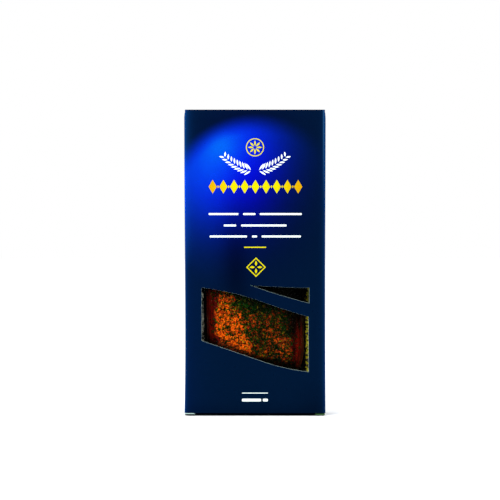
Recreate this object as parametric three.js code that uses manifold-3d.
// A shut carton of folded board with two die-cut windows, and in it a salmon loin with dill, vacuum-packed on a gilt card.
// Millimetres, +Z up. The front panel faces -Y, and the origin is under the middle of the carton, on the surface it stands on.
import * as THREE from "three";
import { mergeVertices } from "three/addons/utils/BufferGeometryUtils.js";
import Module from "manifold-3d";

const wasm = await Module();
wasm.setup();

// The carton
const WIDTH = 96;
const DEPTH = 30;
const HEIGHT = 209.4; // over both closures
const BOARD = 0.6; // thickness of the folded board
const FOLD_RADIUS = 1.2; // outside of every crease
const PANEL_BULGE = 0.7; // front and back panels stand out this far at mid height
const SIDE_BOW = 0.4; // sides draw in by this below their middle, and stand out by half of it at the top
const BASE_BOW = 0.45; // the lower closure hangs down by this between its ends
const RAW_EDGE_LEVEL = 1.9; // panels stop this far short of the closure's outermost point
const DUST_FLAP_LEVEL = 1.25; // outer face of the dust flaps
const DUST_FLAP_LENGTH = 26;
const TUCK_LENGTH = 16;
const FLAP_GAP = 0.35; // between a tucked flap and the panel that it lies behind
const SLIT_LENGTH = 6.5; // the slit lock at each end of the tuck's crease

// The windows, as points [x, z] on the front panel
const MAIN_WINDOW = {
  topLeft: [-36.8, 87.7],
  topBend: [-18, 85.5],
  topStraight: [0, 79.7],
  topSag: [19, 72.9],
  topRight: [36.9, 67.7],
  lowRight: [36.9, 30],
  lowBend: [21.4, 31.8],
  lowStraight: [7.6, 36.3],
  lowLeft: [-36.8, 51.4],
};
const SMALL_WINDOW = {
  tip: [-3.4, 89.4],
  topBend: [14, 87.8],
  topRight: [37.4, 87.5],
  lowRight: [37.4, 76.9],
  lowBend: [12, 83.5],
};

// The gilt card and the film's margin on it
const CARD = { width: 88, height: 199, thickness: 1, corner: 5, base: 2.8, front: 12 };
const FILM = {
  width: 86,
  height: 196,
  thickness: 0.3,
  lift: 0.9, // off the loin's bare flesh, over the dill
  grow: 0.8, // the same at the loin's sides
  foot: 4.2, // width of the tent at the loin's foot
  wrinkle: 0.3,
  onLoin: 0.75, // share of the sheet's rings that lie on the loin
  columns: 22,
  rows: 28,
};
const CLEARANCE = 0.3; // between neighbouring pieces

// The loin, lying against the card with its cut ends on a slant
const LOIN = {
  left: -33.8,
  right: 34.3,
  low: 30,
  high: 150,
  thickness: 21.5,
  slant: 0.15, // the ends rise to the left by this much for each millimetre across
  roundness: 7, // exponent of the outline, from 2 for an oval to large for square corners
  rim: 3, // height of the upright edge
  shoulder: { left: 0.22, right: 0.42, low: 0.24, high: 0.26 }, // shares of the half size that round over
};
const DILL = { bits: 150, shortest: 2.4, longest: 5.4, width: 0.9, height: 0.9, seed: 41 }; // sizes of a chopped bit

const material = (color, roughness, metalness = 0, opacity = 1) =>
  new THREE.MeshStandardMaterial({ color, roughness, metalness, opacity, transparent: opacity < 1 });

const boardPrint = material(0x03225a, 0.32, 0.6);
const giltCard = material(0xb49a3c, 0.35, 0.8);
const salmonFlesh = material(0xd9560f, 0.4);
const clearFilm = material(0xe8eee6, 0.12, 0, 0.3);

function signedVolume(geometry) {
  const at = geometry.attributes.position;
  const corner = [new THREE.Vector3(), new THREE.Vector3(), new THREE.Vector3()];
  let sum = 0;
  for (let i = 0; i < geometry.index.count; i += 3) {
    corner.forEach((p, k) => p.fromBufferAttribute(at, geometry.index.getX(i + k)));
    sum += corner[0].dot(corner[1].cross(corner[2]));
  }
  return sum / 6;
}

// A geometry as a solid, with its shared corners merged and its faces out.
function solid(geometry) {
  const bare = geometry.clone();
  bare.deleteAttribute("normal");
  bare.deleteAttribute("uv");
  const merged = mergeVertices(bare, 1e-4);
  const corners = new Uint32Array(merged.index.array);
  if (signedVolume(merged) < 0) corners.reverse();
  return new wasm.Manifold(
    new wasm.Mesh({
      numProp: 3,
      vertProperties: merged.attributes.position.array,
      triVerts: corners,
    }),
  );
}

function geometryOf(manifold) {
  const { vertProperties, triVerts } = manifold.getMesh();
  return new THREE.BufferGeometry()
    .setAttribute("position", new THREE.BufferAttribute(vertProperties, 3))
    .setIndex(new THREE.BufferAttribute(triVerts, 1))
    .toNonIndexed();
}

// The closed solid between two matching grids of points. A grid that wraps joins its last column to its first.
function solidBetween(columns, rows, outer, inner, wraps = false) {
  const across = wraps ? columns : columns + 1;
  const side = across * (rows + 1);
  const points = [];
  for (const face of [outer, inner])
    for (let j = 0; j <= rows; j++)
      for (let i = 0; i < across; i++) points.push(...face(i, j));
  const at = (face, i, j) => face * side + j * across + (i % across);
  const index = [];
  const quad = (a, b, c, d) => index.push(a, b, c, a, c, d);
  for (let i = 0; i < columns; i++) {
    for (let j = 0; j < rows; j++) {
      quad(at(0, i, j), at(0, i + 1, j), at(0, i + 1, j + 1), at(0, i, j + 1));
      index.push(at(1, i, j), at(1, i + 1, j + 1), at(1, i + 1, j));
      index.push(at(1, i, j), at(1, i, j + 1), at(1, i + 1, j + 1));
    }
    quad(at(0, i, 0), at(1, i, 0), at(1, i + 1, 0), at(0, i + 1, 0));
    quad(at(0, i, rows), at(0, i + 1, rows), at(1, i + 1, rows), at(1, i, rows));
  }
  for (let j = 0; !wraps && j < rows; j++) {
    quad(at(0, 0, j), at(0, 0, j + 1), at(1, 0, j + 1), at(1, 0, j));
    quad(at(0, columns, j), at(1, columns, j), at(1, columns, j + 1), at(0, columns, j + 1));
  }
  return new THREE.BufferGeometry()
    .setAttribute("position", new THREE.Float32BufferAttribute(points, 3))
    .setIndex(index);
}

// Moves every corner of a geometry by a rule.
function shifted(geometry, rule) {
  const at = geometry.attributes.position;
  for (let i = 0; i < at.count; i++)
    at.setXYZ(i, ...rule(at.getX(i), at.getY(i), at.getZ(i)));
  return geometry;
}

// A slab standing on the panel's plane: a shape in x and z, extruded along y from one depth to another.
function uprightSlab(shape, from, to, curveSegments = 8) {
  return new THREE.ExtrudeGeometry(shape, {
    depth: to - from,
    bevelEnabled: false,
    curveSegments,
  })
    .rotateX(Math.PI / 2)
    .translate(0, to, 0);
}

const box = (low, high) =>
  new THREE.BoxGeometry(...high.map((v, k) => v - low[k])).translate(
    ...high.map((v, k) => (v + low[k]) / 2),
  );

// The carton's tube of four panels

const PANEL_STEPS = { front: 10, side: 4, corner: 3 };

// Points round the carton seen from above, inset from its outer face. Each tells how far it lies along its panel, -1 to 1.
function tubeRing(inset) {
  const radius = FOLD_RADIUS - inset;
  const ring = [];
  for (let k = 0; k < 4; k++) {
    const normal = new THREE.Vector2(0, -1).rotateAround(new THREE.Vector2(), (k * Math.PI) / 2);
    const along = new THREE.Vector2(-normal.y, normal.x);
    const [reach, half] = k % 2 ? [WIDTH, DEPTH] : [DEPTH, WIDTH];
    const flat = half / 2 - FOLD_RADIUS;
    const steps = k % 2 ? PANEL_STEPS.side : PANEL_STEPS.front;
    for (let i = 0; i <= steps; i++) {
      const share = (2 * i) / steps - 1;
      const at = normal
        .clone()
        .multiplyScalar(reach / 2 - inset)
        .addScaledVector(along, share * flat);
      ring.push({ at, normal, share, broad: k % 2 === 0 });
    }
    const centre = normal
      .clone()
      .multiplyScalar(reach / 2 - FOLD_RADIUS)
      .addScaledVector(along, flat);
    for (let i = 1; i < PANEL_STEPS.corner; i++) {
      const turn = (i / PANEL_STEPS.corner) * (Math.PI / 2);
      const out = normal.clone().rotateAround(new THREE.Vector2(), turn);
      ring.push({ at: centre.clone().addScaledVector(out, radius), normal: out, share: 1, broad: false });
    }
  }
  return ring;
}

function panelPoint(ring, i, z) {
  const { at, normal, share, broad } = ring[i];
  const up = (z - RAW_EDGE_LEVEL) / (HEIGHT - 2 * RAW_EDGE_LEVEL);
  const swell = broad ? PANEL_BULGE * (1 - share ** 2) * Math.sin(Math.PI * up) : 0;
  const bow = SIDE_BOW * (0.5 * up - Math.sin(Math.PI * up ** 0.6));
  return [at.x * (1 + (2 * bow) / WIDTH) + normal.x * swell, at.y + normal.y * swell, z];
}

function tube() {
  const outer = tubeRing(0);
  const inner = tubeRing(BOARD);
  const rows = 13;
  const level = (j) => RAW_EDGE_LEVEL + (j / rows) * (HEIGHT - 2 * RAW_EDGE_LEVEL);
  return solidBetween(
    outer.length,
    rows,
    (i, j) => panelPoint(outer, i, level(j)),
    (i, j) => panelPoint(inner, i, level(j)),
    true,
  );
}

function mainWindow() {
  const w = MAIN_WINDOW;
  const shape = new THREE.Shape();
  shape.moveTo(...w.topLeft);
  shape.quadraticCurveTo(...w.topBend, ...w.topStraight);
  shape.quadraticCurveTo(...w.topSag, ...w.topRight);
  shape.lineTo(...w.lowRight);
  shape.quadraticCurveTo(...w.lowBend, ...w.lowStraight);
  shape.lineTo(...w.lowLeft);
  return shape;
}

function smallWindow() {
  const w = SMALL_WINDOW;
  const shape = new THREE.Shape();
  shape.moveTo(...w.tip);
  shape.quadraticCurveTo(...w.topBend, ...w.topRight);
  shape.lineTo(...w.lowRight);
  shape.quadraticCurveTo(...w.lowBend, ...w.tip);
  return shape;
}

// The flaps that shut the ends

// The side view of a strip of board folded at right angles at each inner point of the path, which its outer face follows.
function foldedProfile(path) {
  const corner = path.map((p) => new THREE.Vector2(...p));
  const heading = corner.slice(1).map((p, i) => p.clone().sub(corner[i]).normalize());
  const inward = heading.map((h) => new THREE.Vector2(h.y, -h.x));
  const outerFace = [corner[0].clone()];
  const innerFace = [corner[0].clone().addScaledVector(inward[0], BOARD)];
  const bends = 4;
  for (let k = 1; k < corner.length - 1; k++) {
    const centre = corner[k]
      .clone()
      .addScaledVector(heading[k - 1], -FOLD_RADIUS)
      .addScaledVector(inward[k - 1], FOLD_RADIUS);
    for (let i = 0; i <= bends; i++) {
      const out = inward[k - 1]
        .clone()
        .negate()
        .rotateAround(new THREE.Vector2(), (-i / bends) * (Math.PI / 2));
      outerFace.push(centre.clone().addScaledVector(out, FOLD_RADIUS));
      innerFace.push(centre.clone().addScaledVector(out, FOLD_RADIUS - BOARD));
    }
  }
  outerFace.push(corner.at(-1).clone());
  innerFace.push(corner.at(-1).clone().addScaledVector(inward.at(-1), BOARD));
  return new THREE.Shape([...outerFace, ...innerFace.reverse()]);
}

// Lets a closure sag between its ends.
const sagging = (bow) => (x, y, z) => [x, y, z - bow * (1 - Math.min(1, Math.abs(x) / (WIDTH / 2 - 1)) ** 6)];

const HINGE_INSET = 0.03; // hinged flaps start this far inside the panel's outer face
const CLOSURE_WIDTH = WIDTH - 1.2;

// A lower closure, hinged on the back panel and tucked up behind the front one, with a slit lock at each end.
function closure(bow) {
  const hinge = DEPTH / 2 - HINGE_INSET;
  const tuck = -(DEPTH / 2 - BOARD - FLAP_GAP);
  const profile = foldedProfile([
    [hinge, RAW_EDGE_LEVEL + 3],
    [hinge, bow],
    [tuck, bow],
    [tuck, bow + TUCK_LENGTH],
  ]);
  const strip = new THREE.ExtrudeGeometry(profile, { depth: CLOSURE_WIDTH, bevelEnabled: false, steps: 12 })
    .rotateX(Math.PI / 2)
    .rotateZ(Math.PI / 2)
    .translate(-CLOSURE_WIDTH / 2, 0, 0);
  const creaseEnd = tuck + FOLD_RADIUS + 0.2;
  const lipEnd = -DEPTH / 2 + 0.2;
  const lipLevel = bow * 0.6;
  const [slit, end] = [WIDTH / 2 - SLIT_LENGTH, CLOSURE_WIDTH / 2];
  let flap = solid(shifted(strip, sagging(bow)));
  for (const side of [-1, 1]) {
    const span = (from, to) => [side * from, side * to].sort((a, b) => a - b);
    const [cutSpan, lipSpan] = [span(slit, end + 1), span(slit, end)];
    const cut = box([cutSpan[0], -DEPTH, -1], [cutSpan[1], creaseEnd, DEPTH]);
    const lip = box([lipSpan[0], lipEnd, lipLevel], [lipSpan[1], creaseEnd + 0.6, lipLevel + BOARD]);
    flap = flap.subtract(solid(cut)).add(solid(lip));
  }
  return flap;
}

// One lower dust flap, folded in from a side panel and tapered to its free end.
function dustFlap(side) {
  const hinge = WIDTH / 2 - HINGE_INSET;
  const profile = foldedProfile([
    [hinge, DUST_FLAP_LEVEL + 4],
    [hinge, DUST_FLAP_LEVEL],
    [hinge - DUST_FLAP_LENGTH, DUST_FLAP_LEVEL],
  ]);
  const reach = DEPTH - 2 * (BOARD + FLAP_GAP + BOARD + 0.2);
  const strip = new THREE.ExtrudeGeometry(profile, { depth: reach, bevelEnabled: false })
    .rotateX(Math.PI / 2)
    .translate(0, reach / 2, 0);
  const taper = (x, y, z) => {
    const free = Math.max(0, (hinge - 4 - x) / DUST_FLAP_LENGTH);
    return [side * x, y * (1 - 0.25 * free), z];
  };
  return solid(shifted(strip, taper));
}

// Room under each side panel for the dust flap's crease.
function creaseRoom(side) {
  const x = [side * (WIDTH / 2 - 1.8), side * (WIDTH / 2 + 1)].sort((a, b) => a - b);
  const reach = DEPTH / 2 - FOLD_RADIUS - 0.4;
  return solid(box([x[0], -reach, 0], [x[1], reach, DUST_FLAP_LEVEL + FOLD_RADIUS]));
}

// The upper end is the lower one turned over, so that its hinge is at the front.
const turnedOver = (flap) => solid(geometryOf(flap).rotateX(Math.PI).translate(0, 0, HEIGHT));

function carton() {
  const rooms = [-1, 1].map(creaseRoom).flatMap((room) => [room, turnedOver(room)]);
  const dustFlaps = [-1, 1].map(dustFlap).flatMap((flap) => [flap, turnedOver(flap)]);
  const flaps = [closure(BASE_BOW), turnedOver(closure(0)), ...dustFlaps];
  const windows = [mainWindow(), smallWindow()].map((shape) =>
    solid(uprightSlab(shape, -DEPTH / 2 - 3, -DEPTH / 2 + BOARD + 2)),
  );
  const panels = [...rooms, ...windows].reduce((body, cut) => body.subtract(cut), solid(tube()));
  return flaps.reduce((body, flap) => body.add(flap), panels);
}

function giltCardSlab() {
  const { width, height, corner, base, front, thickness } = CARD;
  const [w, low, high] = [width / 2, base, base + height];
  const shape = new THREE.Shape();
  shape.moveTo(-w + corner, low);
  shape.lineTo(w - corner, low);
  shape.absarc(w - corner, low + corner, corner, -Math.PI / 2, 0);
  shape.absarc(w - corner, high - corner, corner, 0, Math.PI / 2);
  shape.absarc(-w + corner, high - corner, corner, Math.PI / 2, Math.PI);
  shape.absarc(-w + corner, low + corner, corner, Math.PI, 1.5 * Math.PI);
  return uprightSlab(shape, front, front + thickness, 5);
}

// The loin

const middle = { x: (LOIN.left + LOIN.right) / 2, z: (LOIN.low + LOIN.high) / 2 };
const half = { x: (LOIN.right - LOIN.left) / 2, z: (LOIN.high - LOIN.low) / 2 };
const farness = (s, t) => (Math.abs(s) ** LOIN.roundness + Math.abs(t) ** LOIN.roundness) ** (1 / LOIN.roundness);

// A point of the loin's outline grown by some share, from shares across and along that lie on the loin's own oval.
function planPoint(s, t) {
  const x = middle.x + half.x * s;
  return [x, middle.z + half.z * t - LOIN.slant * (x - middle.x)];
}

// How far the loin stands off the card, at shares s across and t along.
function loinHeight(s, t) {
  const { shoulder, rim, thickness, roundness } = LOIN;
  const far = Math.min(1, farness(s, t));
  const [a, b] = [Math.abs(s) ** roundness, Math.abs(t) ** roundness];
  const widths = [s < 0 ? shoulder.left : shoulder.right, t < 0 ? shoulder.low : shoulder.high];
  const wide = (widths[0] * a + widths[1] * b + 1e-9) / (a + b + 1e-9);
  const inFrom = Math.min(1, (1 - far) / wide);
  const rounding = Math.sqrt(1 - (1 - inFrom) ** 2.4);
  const crown = 0.96 + 0.04 * (1 - s * s);
  const [x, z] = planPoint(s, t);
  const lumps = 0.45 * Math.sin(x / 8 + 1) * Math.cos(z / 10) + 0.3 * Math.sin(x / 4.3 + z / 6.1);
  return rim + (thickness * crown - rim + lumps * inFrom) * rounding;
}

// A square's shares turned into the oval's, closer together towards the edge.
function ovalShares(u, v) {
  const [a, b] = [u, v].map((w) => Math.sin((w * Math.PI) / 2));
  const scale = Math.max(Math.abs(a), Math.abs(b)) / (farness(a, b) || 1);
  return [a * scale, b * scale];
}

const LOIN_BACK = CARD.front - CLEARANCE;

// The loin's surface as a grid of points, walled down to its flat back, which is a fan of triangles.
function loinBody() {
  const [columns, rows] = [26, 36];
  const points = [];
  const index = [];
  const at = (i, j) => j * (columns + 1) + i;
  for (let j = 0; j <= rows; j++) {
    for (let i = 0; i <= columns; i++) {
      const [s, t] = ovalShares((2 * i) / columns - 1, (2 * j) / rows - 1);
      const [x, z] = planPoint(s, t);
      points.push(x, LOIN_BACK - loinHeight(s, t), z);
      if (i < columns && j < rows)
        index.push(at(i, j), at(i + 1, j), at(i + 1, j + 1), at(i, j), at(i + 1, j + 1), at(i, j + 1));
    }
  }
  const rim = [];
  for (let i = 0; i < columns; i++) rim.push(at(i, 0));
  for (let j = 0; j < rows; j++) rim.push(at(columns, j));
  for (let i = columns; i > 0; i--) rim.push(at(i, rows));
  for (let j = rows; j > 0; j--) rim.push(at(0, j));
  const first = points.length / 3;
  for (const k of rim) points.push(points[3 * k], LOIN_BACK, points[3 * k + 2]);
  const hub = points.length / 3;
  points.push(middle.x, LOIN_BACK, middle.z);
  rim.forEach((a, k) => {
    const next = (k + 1) % rim.length;
    const [b, c, d] = [rim[next], first + next, first + k];
    index.push(b, a, d, b, d, c, c, d, hub);
  });
  return new THREE.BufferGeometry()
    .setAttribute("position", new THREE.Float32BufferAttribute(points, 3))
    .setIndex(index);
}

// Seeded draws from 0 to 1, the same each time.
function draws(seed) {
  let state = seed;
  return () => {
    state = (state * 1664525 + 1013904223) % 4294967296;
    return state / 4294967296;
  };
}

// How thickly the dill lies, from 0 to 1: a drift over the upper middle, thinner at the left, none on the bare right side.
function dillCover(x, z) {
  const drift = (cx, cz, w, h) => Math.exp(-(((x - cx) / w) ** 2) - ((z - cz) / h) ** 2);
  const patches = drift(6, 88, 20, 20) + 0.8 * drift(2, 52, 16, 10) + 0.5 * drift(14, 130, 22, 18);
  const ends = x > 25 || x < -31 ? 0.08 : 1;
  return Math.min(1, 0.42 + patches) * ends;
}

// Chopped dill as slim eight-faced bits, each lying on the loin and half sunk in it.
function dillBits() {
  const draw = draws(DILL.seed);
  const bits = [];
  while (bits.length < DILL.bits) {
    const [s, t] = [0.95 * (2 * draw() - 1), 0.97 * (2 * draw() - 1)];
    const [x, z] = planPoint(s, t);
    if (farness(s, t) > 0.96 || draw() > dillCover(x, z)) continue;
    const step = 0.01;
    const at = new THREE.Vector3(x, LOIN_BACK - loinHeight(s, t), z);
    const across = new THREE.Vector3(step * half.x, loinHeight(s, t) - loinHeight(s + step, t), 0);
    const along = new THREE.Vector3(0, loinHeight(s, t) - loinHeight(s, t + step), step * half.z);
    const out = along.clone().cross(across).normalize();
    if (out.y > 0) out.negate();
    const lie = across.normalize().applyAxisAngle(out, draw() * Math.PI);
    const frame = new THREE.Matrix4().makeBasis(lie, out.clone().cross(lie), out).setPosition(at);
    const length = DILL.shortest + (DILL.longest - DILL.shortest) * draw() ** 1.5;
    bits.push(
      solid(
        new THREE.OctahedronGeometry(1)
          .scale(length / 2, (DILL.width / 2) * (0.7 + 0.6 * draw()), DILL.height / 2)
          .applyMatrix4(frame),
      ),
    );
  }
  return bits;
}

const salmonLoin = () => wasm.Manifold.union([solid(loinBody()), ...dillBits()]);

// The film, one sheet sucked down over the loin. At the loin's foot it comes down to the card in a small tent, and it
// runs out flat to the card's edge.
function vacuumFilm() {
  const { columns, rows, onLoin, lift, grow, foot, width, height, thickness, wrinkle } = FILM;
  const cardMiddle = CARD.base + CARD.height / 2;
  const point = (i, j, off) => {
    const [u, v] = [(2 * i) / columns - 1, (2 * j) / rows - 1];
    const ring = Math.max(Math.abs(u), Math.abs(v));
    const share = Math.min(1, ring / onLoin) / (ring || 1);
    const [s, t] = ovalShares(u * share, v * share);
    const [x, z] = planPoint(s, t);
    const out = Math.max(0, (ring - onLoin) / (1 - onLoin));
    const footShare = Math.min(1, out / 0.5);
    const away = grow + off + foot * footShare;
    const near = [x + away * s * Math.abs(s), z + away * t * Math.abs(t)];
    const edge = [(u / (ring || 1)) * (width / 2), cardMiddle + (v / (ring || 1)) * (height / 2)];
    const margin = Math.max(0, (out - 0.5) / 0.5);
    const [px, pz] = near.map((w, k) => w + (edge[k] - w) * margin);
    const onCard = wrinkle * Math.abs(Math.sin(i * 1.9 + j * 2.3)) * (1 - margin);
    const rise = (loinHeight(s, t) + lift) * (1 - footShare) + onCard * footShare;
    return [px, LOIN_BACK - rise - off, pz];
  };
  return geometryOf(
    solid(solidBetween(columns, rows, (i, j) => point(i, j, thickness), (i, j) => point(i, j, 0))),
  );
}

function named(name, geometry, finish) {
  const mesh = new THREE.Mesh(geometry, finish);
  mesh.name = name;
  return mesh;
}

const pack = new THREE.Group();
pack.add(named("carton", geometryOf(carton()), boardPrint));
pack.add(named("gilt_card", giltCardSlab(), giltCard));
pack.add(named("salmon_loin", geometryOf(salmonLoin()), salmonFlesh));
pack.add(named("vacuum_film", vacuumFilm(), clearFilm));

export default pack;
